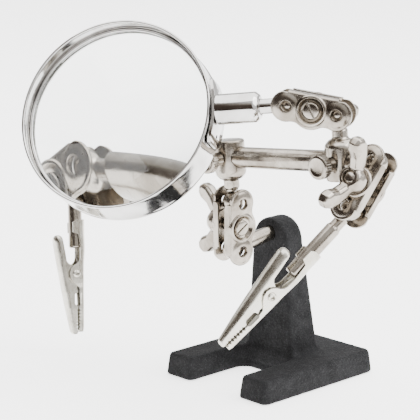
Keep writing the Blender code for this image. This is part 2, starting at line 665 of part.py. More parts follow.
def clip_spring_mesh():
    """Torsion spring round the pivot, one leg under the lever and one in the body."""
    steps = 10
    path = [(25.2, 5.6, -0.85), (29.5, 4.3, -0.95)]
    for i in range(SPRING_TURNS * steps + 1):
        angle = math.radians(112) - 2.0 * math.pi * i / steps
        path.append((CLIP_PIVOT_S + SPRING_R * math.cos(angle),
                     CLIP_PIVOT_T + SPRING_R * math.sin(angle),
                     -1.05 + 2.1 * i / (SPRING_TURNS * steps)))
    path += [(29.0, -1.0, 1.1), (25.6, -0.1, 0.9)]
    curve = bpy.data.curves.new("spring", "CURVE")
    curve.dimensions = "3D"
    curve.bevel_depth = SPRING_WIRE_R * MM
    curve.bevel_resolution = 1
    curve.use_fill_caps = True
    spline = curve.splines.new("POLY")
    spline.points.add(len(path) - 1)
    for point, place in zip(spline.points, path):
        point.co = (place[0] * MM, place[1] * MM, place[2] * MM, 1.0)
    item = bpy.data.objects.new("spring", curve)
    bpy.context.scene.collection.objects.link(item)
    graph = bpy.context.evaluated_depsgraph_get()
    mesh = bpy.data.meshes.new_from_object(item.evaluated_get(graph))
    bpy.data.objects.remove(item, do_unlink=True)
    bm = bmesh.new()
    bm.from_mesh(mesh)
    bmesh.ops.remove_doubles(bm, verts=bm.verts, dist=1e-7)
    bmesh.ops.recalc_face_normals(bm, faces=bm.faces)
    bm.to_mesh(mesh)
    bm.free()
    return mesh


def clip_frame(ball, axis):
    """Clip placement: local X along the clip, local Y towards the lever."""
    along = axis.normalized()
    outward = (CLIP_OUTWARD - along * CLIP_OUTWARD.dot(along)).normalized()
    side = along.cross(outward)
    lever = side * math.cos(CLIP_ROLL) + outward * math.sin(CLIP_ROLL)
    return frame(ball, along, along.cross(lever))


def build_clips(group, mats):
    pieces = (("stem", clip_stem_mesh(), "nickel_plate"), ("body", clip_body_mesh(), "clip_nickel"),
              ("lever", clip_lever_mesh(), "clip_nickel"), ("spring", clip_spring_mesh(), "spring_steel"))
    pivot = clip_pivot_mesh()
    for side, ball, axis in (("right", RIGHT_CLIP_BALL, RIGHT_CLIP_AXIS),
                             ("left", LEFT_CLIP_BALL, LEFT_CLIP_AXIS)):
        place = clip_frame(ball, axis)
        for part, mesh, slot in pieces:
            add_object(group, side + "_clip_" + part, mesh, place, mats[slot])
        add_object(group, side + "_clip_pivot", pivot, place @ shift(CLIP_PIVOT_S, CLIP_PIVOT_T),
                   mats["clip_nickel"])


def clamp_frame(first, second, screw_face):
    """Clamp placement: balls at -Z and +Z, screw head on -Y, folded edges on -X."""
    along = second - first
    y_axis = -screw_face
    return frame((first + second) / 2.0, y_axis.cross(along), along)


def build_clamps(group, mats, bar, collar):
    plate = plate_mesh()
    shared = {"nut_plate": plate, "screw_plate": mirrored_y(plate), "screw": screw_mesh(),
              "wing_nut": wing_nut_mesh()}
    right_ball = (bar @ Vector((0.0, -CROSSBAR_HALF * MM, 0.0))) / MM
    left_ball = (bar @ Vector((0.0, CROSSBAR_HALF * MM, 0.0))) / MM
    collar_ball = (collar @ Vector((0.0, 0.0, BLOCK_BALL_DROP * MM))) / MM
    along_bar = (right_ball - left_ball).normalized()
    left_face = (LEFT_CLIP_BALL - left_ball).cross(along_bar)
    lower_face = Vector((math.sin(LOWER_CLAMP_TURN), -math.cos(LOWER_CLAMP_TURN), 0.0))
    places = {
        "lower_clamp": clamp_frame(PIN_BALL, HOLDER_BALL, lower_face),
        "lens_clamp": clamp_frame(LENS_BALL, collar_ball, LENS_CLAMP_FACE),
        "right_clamp": clamp_frame(RIGHT_CLIP_BALL, right_ball, -RIGHT_CLAMP_FACE),
        "left_clamp": clamp_frame(LEFT_CLIP_BALL, left_ball, left_face),
    }
    for prefix, place in places.items():
        build_clamp(group, mats, prefix, place, shared)


def main():
    group = clear_scene()
    mats = make_materials()
    build_stand(group, mats)
    bar, collar = build_bar(group, mats, ball_mesh())
    build_clamps(group, mats, bar, collar)
    build_magnifier(group, mats)
    build_clips(group, mats)


main()
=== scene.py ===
"""Looks for the helping hands clamp: detailed pieces, plated and cast surfaces, light and camera.

Lengths in the constants and the shape functions are in millimetres, and meshes are made in metres.
Each piece is built about its own origin and then moved to its place. Turned profiles are lists of
(radius, height) pairs, and h, r, s, t and c in the clip are height, radius, place along the clip,
height towards the lever and place across.
"""
import math

import bmesh
import bpy
from mathutils import Matrix, Vector, noise

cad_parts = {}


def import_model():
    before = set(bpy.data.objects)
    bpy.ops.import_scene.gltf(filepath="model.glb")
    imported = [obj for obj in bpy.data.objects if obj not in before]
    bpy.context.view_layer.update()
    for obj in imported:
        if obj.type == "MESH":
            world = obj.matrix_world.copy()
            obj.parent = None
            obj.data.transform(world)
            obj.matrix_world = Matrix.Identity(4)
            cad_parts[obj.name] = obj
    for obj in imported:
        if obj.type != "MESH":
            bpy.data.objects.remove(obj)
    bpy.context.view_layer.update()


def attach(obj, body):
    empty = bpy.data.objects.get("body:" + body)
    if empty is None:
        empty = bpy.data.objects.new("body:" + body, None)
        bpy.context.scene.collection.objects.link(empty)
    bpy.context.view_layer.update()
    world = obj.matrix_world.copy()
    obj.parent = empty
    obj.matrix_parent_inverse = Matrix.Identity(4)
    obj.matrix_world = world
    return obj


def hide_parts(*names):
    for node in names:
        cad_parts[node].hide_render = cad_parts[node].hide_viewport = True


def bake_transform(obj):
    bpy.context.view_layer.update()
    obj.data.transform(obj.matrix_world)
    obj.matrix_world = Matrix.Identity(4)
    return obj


MM = 0.001

# where each assembly stands: ball centres and directions, the same as in the CAD
PIN_BALL = Vector((-21.7, 0.0, 42.1))
HOLDER_BALL = Vector((-21.7, 0.0, 56.4))
LOWER_CLAMP_TURN = math.radians(-6.0)
LENS_BALL = Vector((-26.43, -26.80, 89.28))
LENS_CENTRE = Vector((-52.16, 16.47, 83.65))
LENS_FRONT = Vector((-0.782, -0.403, 0.477))
LENS_CLAMP_FACE = Vector((-0.843, -0.533, 0.067))
RIGHT_CLIP_BALL = Vector((-24.92, -49.39, 62.90))
RIGHT_CLAMP_FACE = Vector((-0.872, -0.145, 0.458))
RIGHT_CLIP_AXIS = Vector((-0.641, 0.317, -0.699))
LEFT_CLIP_BALL = Vector((-27.57, 66.49, 56.22))
LEFT_CLIP_AXIS = Vector((-0.179, -0.232, -0.956))
CLIP_OUTWARD = Vector((-0.68, -0.70, 0.23))
CLIP_ROLL = math.radians(24.0)
BAR_HEADING = math.radians(4.0)
BAR_TILT = math.radians(5.7)
BLOCK_BALL_DROP = 13.4
COLLAR_AT = 41.8

# base casting and its pin
BASE_X0, BASE_X1, BASE_HALF_WIDTH, BASE_HEIGHT = -29.9, 18.9, 21.7, 6.95
ARM_INNER_Y, SLOT_END_X = 9.9, -6.7
ARM_CORNER, BRIDGE_CORNER, SLOT_CORNER = 2.2, 3.0, 3.5
POST_FRONT_X, POST_BACK_X, POST_BACK_LEAN = -6.15, 6.05, 4.7
POST_HALF_FOOT, POST_HALF_TOP, POST_ARCH_Z, POST_CORNER = 9.6, 7.3, 41.65, 1.2
FOOT_FLARE, FOOT_FLARE_HEIGHT = 1.3, 2.2
CAST_SKIN, CAST_SMOOTHING = 0.42, 3
CAST_LUMP, CAST_LUMP_PITCH = 0.05, 420.0
PIN_END_X, PIN_END_Z, PIN_DEPTH = -6.15, 44.3, 5.0

# rods, balls, crossbar, holder and collar
BALL_R, NECK_R, STEM_R, NECK_GAP = 3.2, 1.8, 2.3, 0.15
CROSSBAR_HALF, CROSSBAR_R = 54.0, 3.1
BLOCK_R, BAR_BORE_R, SET_HOLE_R = 4.62, 3.22, 1.75
KNURL_DEPTH = 0.26

# clamp plates, screw and wing nut
SEAT_HALF, PLATE_SIDE, LOBE_R, BULGE_R = 7.15, 4.5, 4.38, 5.35
PLATE_INNER, PLATE_OUTER, DOME_TOP = 3.45, 4.35, 4.85
SCREW_R, SCREW_HOLE_R, THREAD_ROOT_R, THREAD_PITCH = 1.75, 1.95, 1.55, 0.3
SLOT_HALF_WIDTH, SLOT_TURN = 0.28, math.radians(55.0)
NUT_SKIN, NUT_SMOOTHING = 0.24, 4

# magnifier
LENS_Z, LENS_R, LENS_EDGE_T, LENS_SAG = -3.45, 27.2, 2.0, 3.0
RETAINER_R, RETAINER_WIRE, RETAINER_Z = 27.15, 0.45, -1.75
ROLL_R, ROLL_HALF_WIDTH, ROLL_HALF_HEIGHT, FRONT_ROLL_Z, BACK_ROLL_Z = 28.05, 0.45, 0.4, 2.6, -9.1
RING_INNER_R, LEDGE_R = 27.6, 26.7
SADDLE_INNER, SADDLE_OUTER, SADDLE_BACK, SADDLE_FRONT = 28.75, 29.75, -8.2, 1.6
SADDLE_HALF_ANGLE = math.radians(19.0)
FERRULE_R, FERRULE_START, FERRULE_END, FERRULE_FLOOR = 4.35, 30.05, 42.6, 36.1

# spring clip
CLIP_PIVOT_S, CLIP_PIVOT_T = 32.6, 0.9
CLIP_STEM_R, PIN_HOLE_R = 2.15, 0.95
TEETH_START, JAW_END, TOOTH_PITCH = 43.6, 51.0, 1.06
BODY_SHEET, BODY_TOOTH, LEVER_SHEET, LEVER_TOOTH = 0.5, 0.5, 0.45, 0.45
SPRING_R, SPRING_TURNS, SPRING_WIRE_R = 1.28, 3, 0.27
SPRING_FIXED_T, SPRING_FREE_T = 2.5, 4.2

# light, floor and camera, in metres
FLOOR_NEAR, FLOOR_FAR, FLOOR_DROP, FLOOR_GLOW = -0.85, 4.0, 0.0002, 2.4
ROOM_STRENGTH = 1.1
BRIGHT_SIDE, FAR_SIDE = Vector((0.38, -0.40, 0.83)), Vector((0.42, 0.43, 0.0))
CAMERA_PLACE = Vector((-0.3867, -0.3692, 0.1743))
CAMERA_AZIMUTH, CAMERA_ELEVATION = math.radians(-43.92), math.radians(13.06)
CAMERA_LENS = 154.4


# ---- mesh helpers ----

def frame(origin, x_axis, z_axis):
    """Place with its Z along z_axis and its X as near x_axis as that allows."""
    z = z_axis.normalized()
    x = (x_axis - z * x_axis.dot(z)).normalized()
    turn = Matrix((x, z.cross(x), z)).transposed().to_4x4()
    return Matrix.Translation(origin * MM) @ turn


def shift(x=0.0, y=0.0, z=0.0):
    return Matrix.Translation(Vector((x, y, z)) * MM)


def moved(mesh, matrix):
    copy = mesh.copy()
    copy.transform(matrix)
    return copy


def mesh_from(points, faces):
    bm = bmesh.new()
    verts = [bm.verts.new(Vector(p) * MM) for p in points]
    for face in faces:
        bm.faces.new([verts[i] for i in face])
    bmesh.ops.recalc_face_normals(bm, faces=bm.faces)
    mesh = bpy.data.meshes.new("piece")
    bm.to_mesh(mesh)
    bm.free()
    return mesh


def loft(loops):
    """Closed solid through loops of equal count, capped at both ends."""
    count = len(loops[0])
    points = [p for loop in loops for p in loop]
    faces = [list(range(count)), list(range(len(points) - count, len(points)))]
    for row in range(len(loops) - 1):
        for i in range(count):
            a, b = row * count + i, row * count + (i + 1) % count
            faces.append([a, b, b + count, a + count])
    return mesh_from(points, faces)


def lathe(profile, segments, axis="Z", ridge=0.0):
    """Turned body or ring; ridge draws in every second segment of the widest part."""
    solid = profile[0][0] == 0.0 and profile[-1][0] == 0.0
    widest = max(r for r, h in profile)
    points, rows = [], []
    for r, h in profile:
        if r == 0.0:
            rows.append([len(points)] * segments)
            points.append((0.0, 0.0, h))
            continue
        rows.append(list(range(len(points), len(points) + segments)))
        for i in range(segments):
            angle = 2.0 * math.pi * i / segments
            radius = r - ridge if ridge and r > widest - 0.05 and i % 2 else r
            points.append((radius * math.cos(angle), radius * math.sin(angle), h))
    pairs = list(zip(rows, rows[1:]))
    if not solid:
        pairs.append((rows[-1], rows[0]))
    faces = []
    for low, high in pairs:
        for i in range(segments):
            j = (i + 1) % segments
            face = []
            for v in (low[i], low[j], high[j], high[i]):
                if v not in face:
                    face.append(v)
            faces.append(face)
    if axis == "X":
        points = [(z, x, y) for x, y, z in points]
    elif axis == "Y":
        points = [(y, z, x) for x, y, z in points]
    return mesh_from(points, faces)


def eased(profile, radius, steps=4):
    """Turned profile with its corners rounded, except on the axis."""
    points = [Vector(p) for p in profile]
    out = [tuple(points[0])]
    for before, here, after in zip(points, points[1:], points[2:]):
        first, second = before - here, after - here
        reach = min(radius, first.length * 0.45, second.length * 0.45)
        start, end = here + first.normalized() * reach, here + second.normalized() * reach
        for k in range(steps + 1):
            t = k / steps
            p = start * (1 - t) ** 2 + here * 2 * t * (1 - t) + end * t ** 2
            out.append((max(p.x, 0.01), p.y))
    return out + [tuple(points[-1])]


def offset_outline(points, amount):
    """Outline moved inwards by an amount, for an outline that runs anticlockwise."""
    result = []
    count = len(points)
    for i in range(count):
        before, here, after = points[i - 1], points[i], points[(i + 1) % count]
        first = Vector((here[0] - before[0], here[1] - before[1])).normalized()
        second = Vector((after[0] - here[0], after[1] - here[1])).normalized()
        normal = Vector((-(first.y + second.y), first.x + second.x))
        normal = normal / max(normal.length_squared / 2.0, 0.4)
        result.append((here[0] + normal.x * amount, here[1] + normal.y * amount))
    return result


def rounded_outline(corners, steps=8):
    """Outline with right-angled corners (x, y, radius) turned into arcs."""
    outline = []
    count = len(corners)
    for i in range(count):
        before, here = Vector(corners[i - 1][:2]), Vector(corners[i][:2])
        after, radius = Vector(corners[(i + 1) % count][:2]), corners[i][2]
        first, second = (before - here).normalized(), (after - here).normalized()
        centre = here + (first + second) * radius
        start, end = -second * radius, -first * radius
        for k in range(steps + 1):
            outline.append(tuple(centre + start.lerp(end, k / steps).normalized() * radius))
    return outline


def with_modifiers(mesh, setup):
    """Mesh after modifiers that setup puts on it; setup may return helper objects to remove."""
    item = bpy.data.objects.new("work", mesh)
    bpy.context.scene.collection.objects.link(item)
    helpers = setup(item) or []
    graph = bpy.context.evaluated_depsgraph_get()
    result = bpy.data.meshes.new_from_object(item.evaluated_get(graph))
    for helper in helpers:
        bpy.data.objects.remove(helper, do_unlink=True)
    bpy.data.objects.remove(item, do_unlink=True)
    return result


def combine(mesh, others, operation):
    """Exact union with, or difference from, other meshes."""
    def setup(item):
        helpers = []
        for other in others:
            helper = bpy.data.objects.new("helper", other)
            bpy.context.scene.collection.objects.link(helper)
            modifier = item.modifiers.new("join", "BOOLEAN")
            modifier.operation, modifier.solver, modifier.object = operation, "EXACT", helper
            helpers.append(helper)
        return helpers
    return with_modifiers(mesh, setup)


def joined(meshes):
    """Meshes side by side in one, without cutting them."""
    bm = bmesh.new()
    for mesh in meshes:
        bm.from_mesh(mesh)
    result = bpy.data.meshes.new("piece")
    bm.to_mesh(result)
    bm.free()
    return result


def softened(mesh, voxel, rounds):
    """One even skin over a joined shape, with its edges and inner corners rounded."""
    def setup(item):
        remesh = item.modifiers.new("skin", "REMESH")
        remesh.mode, remesh.voxel_size = "VOXEL", voxel * MM
        smooth = item.modifiers.new("smooth", "SMOOTH")
        smooth.factor, smooth.iterations = 0.5, rounds
    return with_modifiers(mesh, setup)


# ---- surfaces ----

def surface(name, colour, roughness, metallic):
    """New material; its patterns are placed by each piece's own coordinates."""
    mat = bpy.data.materials.new(name)
    mat.use_nodes = True
    nodes, links = mat.node_tree.nodes, mat.node_tree.links
    shader = nodes["Principled BSDF"]
    shader.inputs["Base Color"].default_value = (*colour, 1.0)
    shader.inputs["Roughness"].default_value = roughness
    shader.inputs["Metallic"].default_value = metallic
    place = nodes.new("ShaderNodeAttribute")
    place.attribute_name = "own_place"
    return mat, nodes, links, shader, place.outputs["Vector"]


def grain(nodes, links, place, scale, stretch=(1, 1, 1), detail=4.0, roughness=0.55):
    """Noise pattern, stretched along an axis where stretch is below one."""
    mapping = nodes.new("ShaderNodeMapping")
    mapping.inputs["Scale"].default_value = stretch
    links.new(place, mapping.inputs["Vector"])
    texture = nodes.new("ShaderNodeTexNoise")
    texture.inputs["Scale"].default_value = scale
    texture.inputs["Detail"].default_value = detail
    texture.inputs["Roughness"].default_value = roughness
    links.new(mapping.outputs["Vector"], texture.inputs["Vector"])
    return texture.outputs["Fac"]


def ramp(nodes, links, source, stops):
    """Grey levels or colours along a value, from (position, value) pairs."""
    node = nodes.new("ShaderNodeValToRGB")
    band = node.color_ramp
    while len(band.elements) < len(stops):
        band.elements.new(0.5)
    for element, (at, colour) in zip(band.elements, stops):
        element.position = at
        element.color = (*colour, 1.0) if isinstance(colour, tuple) else (colour,) * 3 + (1.0,)
    links.new(source, node.inputs["Fac"])
    return node.outputs["Color"]


def bump(nodes, links, shader, height, depth, strength=1.0, under=None):
    node = nodes.new("ShaderNodeBump")
    node.inputs["Distance"].default_value = depth * MM
    node.inputs["Strength"].default_value = strength
    links.new(height, node.inputs["Height"])
    if under:
        links.new(under, node.inputs["Normal"])
    links.new(node.outputs["Normal"], shader.inputs["Normal"])
    return node.outputs["Normal"]


def rounded_edges(nodes, radius):
    node = nodes.new("ShaderNodeBevel")
    node.samples = 4
    node.inputs["Radius"].default_value = radius * MM
    return node.outputs["Normal"]


def plated(name, light, dark, smooth, dull, streak=(1, 1, 1), edge=0.12):
    """Plated steel: cloudy tone, uneven polish, fine streaks and small pits."""
    mat, nodes, links, shader, place = surface(name, light, smooth, 1.0)
    tone = grain(nodes, links, place, 160.0, detail=3.0)
    links.new(ramp(nodes, links, tone, [(0.35, dark), (0.6, light)]), shader.inputs["Base Color"])
    polish = grain(nodes, links, place, 420.0, streak, 6.0, 0.65)
    links.new(ramp(nodes, links, polish, [(0.3, smooth), (0.75, dull)]), shader.inputs["Roughness"])
    edges = rounded_edges(nodes, edge)
    ripple = bump(nodes, links, shader, grain(nodes, links, place, 300.0, detail=2.0), 0.02, 0.6, edges)
    bump(nodes, links, shader, grain(nodes, links, place, 2600.0, streak, 3.0), 0.006, 0.5, ripple)
    return mat


def casting():
    """Rough black-coated casting with pale worn specks."""
    mat, nodes, links, shader, place = surface("black_casting", (0.03, 0.03, 0.033), 0.75, 0.0)
    cloud = grain(nodes, links, place, 260.0, detail=5.0)
    body = ramp(nodes, links, cloud, [(0.3, (0.004, 0.004, 0.0045)), (0.7, (0.014, 0.014, 0.015))])
    specks = grain(nodes, links, place, 2200.0, detail=5.0, roughness=0.75)
    worn = ramp(nodes, links, specks, [(0.52, 0.0), (0.78, 0.55)])
    mix = nodes.new("ShaderNodeMix")
    mix.data_type = "RGBA"
    links.new(worn, mix.inputs["Factor"])
    first_colour, second_colour, mixed_colour = mix.inputs[6], mix.inputs[7], mix.outputs[2]
    links.new(body, first_colour)
    second_colour.default_value = (0.06, 0.06, 0.062, 1.0)
    links.new(mixed_colour, shader.inputs["Base Color"])
    links.new(ramp(nodes, links, specks, [(0.3, 0.95), (0.75, 0.6)]), shader.inputs["Roughness"])
    shader.inputs["Specular IOR Level"].default_value = 0.2
    lumps = bump(nodes, links, shader, grain(nodes, links, place, 900.0, detail=5.0), 0.4, 1.0)
    bump(nodes, links, shader, specks, 0.18, 1.0, lumps)
    return mat


def glass():
    """Clear lens glass with a few faint smudges."""
    mat, nodes, links, shader, place = surface("lens_glass", (0.985, 1.0, 0.995), 0.0, 0.0)
    shader.inputs["Transmission Weight"].default_value = 1.0
    shader.inputs["IOR"].default_value = 1.5
    smudge = grain(nodes, links, place, 60.0, detail=5.0)
    links.new(ramp(nodes, links, smudge, [(0.55, 0.0), (0.8, 0.03)]), shader.inputs["Roughness"])
    return mat


def make_surfaces():
    return {
        "black_casting": casting(),
        "nickel_plate": plated("nickel_plate", (0.385, 0.35, 0.305), (0.235, 0.205, 0.17), 0.13, 0.32),
        "polished_chrome": plated("polished_chrome", (0.66, 0.65, 0.635), (0.50, 0.485, 0.47), 0.05, 0.15),
        "clip_nickel": plated("clip_nickel", (0.60, 0.575, 0.51), (0.42, 0.395, 0.335), 0.18, 0.36,
                              (0.25, 1, 1)),
        "spring_steel": plated("spring_steel", (0.33, 0.30, 0.27), (0.2, 0.18, 0.16), 0.25, 0.45),
        "lens_glass": glass(),
    }


# ---- pieces ----

def add(name, mesh, place, body, node, slot, mats, angle=38.0):
    """Visible piece in place of a CAD node, riding on a body; it keeps its own coordinates for patterns."""
    mesh = mesh.copy()
    mesh.materials.clear()
    mesh.materials.append(mats[slot])
    mesh.set_sharp_from_angle(angle=math.radians(angle))
    own = mesh.attributes.new("own_place", "FLOAT_VECTOR", "POINT")
    for value, vertex in zip(own.data, mesh.vertices):
        value.vector = vertex.co
    mesh.transform(place)
    item = bpy.data.objects.new(name, mesh)
    bpy.context.scene.collection.objects.link(item)
    if body:
        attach(item, body)
    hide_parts(node)
    return item


def base_outline():
    """U-shaped foot: two arms towards -X, joined by a bridge at +X."""
    half, inner = BASE_HALF_WIDTH, ARM_INNER_Y
    return rounded_outline([
        (BASE_X0, -half, ARM_CORNER), (BASE_X1, -half, BRIDGE_CORNER),
        (BASE_X1, half, BRIDGE_CORNER), (BASE_X0, half, ARM_CORNER),
        (BASE_X0, inner, ARM_CORNER), (SLOT_END_X, inner, SLOT_CORNER),
        (SLOT_END_X, -inner, SLOT_CORNER), (BASE_X0, -inner, ARM_CORNER)])


def post_loop(z, scale=1.0, pinch=0.0):
    """Level section of the post: it tapers up from a flared foot."""
    above = max(0.0, z - BASE_HEIGHT)
    part = max(0.0, min(1.0, (z - BASE_HEIGHT) / (POST_ARCH_Z - BASE_HEIGHT)))
    flare = FOOT_FLARE * max(0.0, 1.0 - above / FOOT_FLARE_HEIGHT) ** 2
    front = POST_FRONT_X - 0.5 * flare + pinch
    back = POST_BACK_X - POST_BACK_LEAN * part + flare - pinch
    half = (POST_HALF_FOOT - (POST_HALF_FOOT - POST_HALF_TOP) * part + flare) * scale
    radius = min(POST_CORNER, half * 0.8, (back - front) * 0.45)
    outline = rounded_outline([(front, -half, radius), (back, -half, radius),
                               (back, half, radius), (front, half, radius)], 4)
    return [(x, y, z) for x, y in outline]


def base_mesh():
    """Foot and round-topped post in one skin, with the faint lumps of a casting."""
    outline = base_outline()
    levels = ((0.0, 0.25), (0.35, 0.0), (5.9, 0.8), (6.6, 1.1), (BASE_HEIGHT, 1.6))
    plate = loft([[(x, y, z) for x, y in offset_outline(outline, inset)] for z, inset in levels])
    loops = [post_loop(z) for z in (3.0, 6.4, BASE_HEIGHT, 7.4, 7.9, 8.5, 9.2, 24.0, POST_ARCH_Z)]
    for degrees in range(7, 85, 7):
        angle = math.radians(degrees)
        pinch = 1.4 * (1.0 - math.sqrt(max(0.0, 1.0 - max(0.0, (degrees - 50) / 36.0) ** 2)))
        loop = post_loop(POST_ARCH_Z, math.cos(angle), pinch)
        loops.append([(x, y, z + POST_HALF_TOP * math.sin(angle)) for x, y, z in loop])
    skin = softened(combine(plate, [loft(loops)], "UNION"), CAST_SKIN, CAST_SMOOTHING)
    normals = [vertex.normal.copy() for vertex in skin.vertices]
    for vertex, normal in zip(skin.vertices, normals):
        spot = vertex.co * CAST_LUMP_PITCH
        lump = noise.noise(spot) + 0.6 * noise.noise(spot * 2.7)
        vertex.co += normal * (lump - 0.6) * CAST_LUMP * MM
        vertex.co.z = max(vertex.co.z, 0.0)
    return skin


def pin_frame():
    """Place of the pin, from its ball towards the post, and its length to the post's face."""
    along = Vector((PIN_END_X, 0.0, PIN_END_Z)) - PIN_BALL
    return frame(PIN_BALL, Vector((0, 0, 1)), along), along.length


def add_stand(mats):
    place, reach = pin_frame()
    wide = STEM_R + 0.1
    hole = lathe([(0.0, reach - 3.0), (wide, reach - 3.0), (wide, reach + PIN_DEPTH),
                  (0.0, reach + PIN_DEPTH + 0.6)], 40)
    hole.transform(place)
    casting_mesh = combine(base_mesh(), [hole], "DIFFERENCE")
    add("base", casting_mesh, Matrix(), "stand", "base_casting", "black_casting", mats, 60.0)
    start = BALL_R + NECK_GAP
    pin = lathe(eased([(0.0, start), (NECK_R, start), (NECK_R, start + 0.9), (STEM_R, start + 1.6),
                       (STEM_R, reach + PIN_DEPTH - 0.5), (0.0, reach + PIN_DEPTH - 0.4)], 0.3), 48)
    add("pin", pin, place, "stand", "post_pin", "nickel_plate", mats)


def plate_outline():
    """Plate outline in X and Z: straight folded side, two lobes, a middle bulge with filleted necks."""
    points = []
    for degrees in range(-32, 33, 8):
        angle = math.radians(degrees)
        points.append((BULGE_R * math.cos(angle), BULGE_R * math.sin(angle)))
    upper = [(4.16, 3.55), (3.98, 4.25), (4.0, 4.95)]
    for degrees in range(-22, 181, 7):
        angle = math.radians(degrees)
        upper.append((LOBE_R * math.cos(angle), SEAT_HALF + LOBE_R * math.sin(angle)))
    lower = [(x, -z) for x, z in reversed(upper)]
    return [(max(x, 0.5 - PLATE_SIDE), z) for x, z in points + upper + lower]


def flange_mesh():
    """Folded side of a plate, rounded at the bend."""
    side, bend, lip = -PLATE_SIDE, 0.9, 1.5
    section = [(side, lip + 0.1), (side, PLATE_OUTER - bend)]
    for degrees in (162, 144, 126, 108, 90):
        angle = math.radians(degrees)
        section.append((side + bend + bend * math.cos(angle),
                        PLATE_OUTER - bend + bend * math.sin(angle)))
    section += [(side + bend + 0.4, PLATE_OUTER), (side + bend + 0.4, PLATE_INNER),
                (side + 0.9, PLATE_INNER), (side + 0.9, lip + 0.1), (side + 0.8, lip), (side + 0.1, lip)]
    loops = []
    for z, inset in ((-SEAT_HALF, 1.0), (-SEAT_HALF + 0.35, 0.45), (-SEAT_HALF + 1.2, 0.0),
                     (SEAT_HALF - 1.2, 0.0), (SEAT_HALF - 0.35, 0.45), (SEAT_HALF, 1.0)):
        loops.append([(x, max(y, lip + inset), z) for x, y in section])
    return loft(loops)


def plate_mesh():
    """Clamp plate on +Y: a domed seat in each lobe and a raised ring in the middle."""
    outline = plate_outline()
    levels = ((PLATE_INNER, 0.1), (PLATE_INNER + 0.1, 0.0), (PLATE_OUTER - 0.3, 0.0),
              (PLATE_OUTER - 0.15, 0.06), (PLATE_OUTER - 0.04, 0.17), (PLATE_OUTER, 0.35))
    plate = loft([[(x, y, z) for x, z in offset_outline(outline, inset)] for y, inset in levels])
    dome = lathe([(0.0, PLATE_INNER + 0.3), (3.9, PLATE_INNER + 0.3), (3.9, PLATE_OUTER - 0.1),
                  (3.5, PLATE_OUTER + 0.12), (3.0, DOME_TOP - 0.2), (2.5, DOME_TOP - 0.07),
                  (2.0, DOME_TOP), (0.0, DOME_TOP)], 40, "Y")
    boss = lathe([(0.0, 3.0), (4.6, 3.0), (4.58, 4.2), (4.5, 4.45), (4.35, 4.65), (4.1, 4.8),
                  (3.8, DOME_TOP), (0.0, DOME_TOP)], 48, "Y")
    plate = combine(plate, [flange_mesh(), moved(dome, shift(z=SEAT_HALF)),
                            moved(dome, shift(z=-SEAT_HALF)), boss], "UNION")
    seat = lathe([(0.0, 1.0), (1.55, 1.0), (1.55, 4.5), (1.62, 4.7), (1.85, 5.0), (1.85, 7.0),
                  (0.0, 7.0)], 32, "Y")
    recess = lathe([(0.0, 1.0), (SCREW_HOLE_R, 1.0), (SCREW_HOLE_R, 3.7), (2.5, 3.72), (2.9, 3.85),
                    (3.2, 4.15), (3.45, 4.55), (3.75, 4.9), (3.75, 7.0), (0.0, 7.0)], 48, "Y")
    return combine(plate, [moved(seat, shift(z=SEAT_HALF)), moved(seat, shift(z=-SEAT_HALF)), recess],
                   "DIFFERENCE")


def mirrored_y(mesh):
    copy = moved(mesh, Matrix.Scale(-1.0, 4, Vector((0, 1, 0))))
    copy.flip_normals()
    return copy


def screw_mesh():
    """Slotted screw through both plates, with grooves for its thread beyond the second."""
    thread = []
    for i in range(12):
        start = 5.0 + THREAD_PITCH * i
        thread += [(SCREW_R, start), (THREAD_ROOT_R, start + THREAD_PITCH / 2.0)]
    body = lathe([(0.0, -4.72), (1.9, -4.7), (2.15, -4.62), (2.3, -4.45), (2.35, -4.2),
                  (2.35, -3.85), (2.25, -3.78), (SCREW_R, -3.78)] + thread
                 + [(1.2, 8.7), (0.0, 8.7)], 48, "Y")
    wide = SLOT_HALF_WIDTH
    slot = loft([[(-wide, -6.0, z), (wide, -6.0, z), (wide, -4.3, z), (-wide, -4.3, z)]
                 for z in (-4.0, 4.0)])
    slot.transform(Matrix.Rotation(SLOT_TURN, 4, "Y"))
    return combine(body, [slot], "DIFFERENCE")


def wing_nut_mesh():
    """Cast wing nut on +Y with rounded ears along Z."""
    hub = lathe([(0.0, 3.85), (2.9, 3.85), (2.95, 5.0), (3.9, 5.2), (3.9, 6.8), (3.3, 8.6), (2.8, 9.1),
                 (0.0, 9.1)], 32, "Y")
    ear = [(1.8, 5.4), (5.4, 6.3), (8.3, 8.4), (10.2, 10.7), (10.8, 12.9), (9.8, 14.8),
           (7.7, 15.2), (6.0, 13.9), (4.7, 11.2), (1.8, 8.6)]
    loops = [[(x, h, r) for r, h in offset_outline(ear, inset)]
             for x, inset in ((-1.95, 1.1), (-1.6, 0.45), (-0.9, 0.0), (0.9, 0.0), (1.6, 0.45), (1.95, 1.1))]
    wing = loft(loops)
    other = moved(wing, Matrix.Rotation(math.pi, 4, "Y"))
    skin = softened(combine(hub, [wing, other], "UNION"), NUT_SKIN, NUT_SMOOTHING)
    hole = lathe([(0.0, 2.0), (SCREW_HOLE_R, 2.0), (SCREW_HOLE_R, 8.6), (2.3, 9.6), (0.0, 9.6)],
                 32, "Y")
    return combine(skin, [hole], "DIFFERENCE")


def clamp_frame(first, second, screw_face):
    """Place of a clamp from its lower ball to its upper one, with the screw's head on one face."""
    along = second - first
    y_axis = -screw_face
    return frame((first + second) / 2.0, y_axis.cross(along), along)


